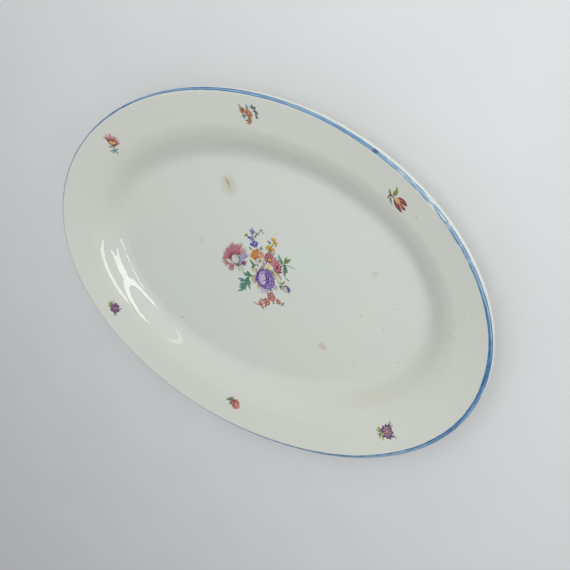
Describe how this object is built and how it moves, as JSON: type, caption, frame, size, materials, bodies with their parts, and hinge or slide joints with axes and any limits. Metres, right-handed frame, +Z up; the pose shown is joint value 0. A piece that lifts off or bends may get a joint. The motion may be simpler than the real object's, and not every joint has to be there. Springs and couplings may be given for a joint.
{
  "type": "oval serving dish",
  "caption": "Shallow oval serving dish with a broad sloping rim, a flat-floored well and a foot ring, decorated with a painted rim line and flower prints.",
  "frame": {"origin": "middle of the plane that the foot ring rests on", "axes": "+X along the dish's long axis, +Y across it, +Z up out of the well"},
  "size_m": [0.35, 0.256, 0.0345],
  "materials": {
    "cream_glaze": "clear glossy glaze over a cream-white body, with a bare foot edge",
    "blue_line": "hand-banded blue enamel, streaky and worn in places",
    "bouquet_colours": "flower print in pink, purple, orange, yellow and green, fired on to the glaze",
    "tulip_colours": "crimson and yellow print with green leaves, fired on to the glaze",
    "orange_spray_colours": "orange-red print with green leaves, fired on to the glaze",
    "aster_colours": "crimson-pink print with green leaves, fired on to the glaze",
    "violet_colours": "purple print with green leaves, fired on to the glaze",
    "rose_colours": "coral-red print with green leaves, fired on to the glaze",
    "daisy_colours": "mauve and yellow print with green leaves, fired on to the glaze"
  },
  "bodies": {
    "root": {"dish_body": "cream_glaze", "rim_line": "blue_line", "bouquet_print": "bouquet_colours", "tulip_print": "tulip_colours", "orange_spray_print": "orange_spray_colours", "aster_print": "aster_colours", "violet_print": "violet_colours", "rose_print": "rose_colours", "daisy_print": "daisy_colours"}
  },
  "joints": []
}
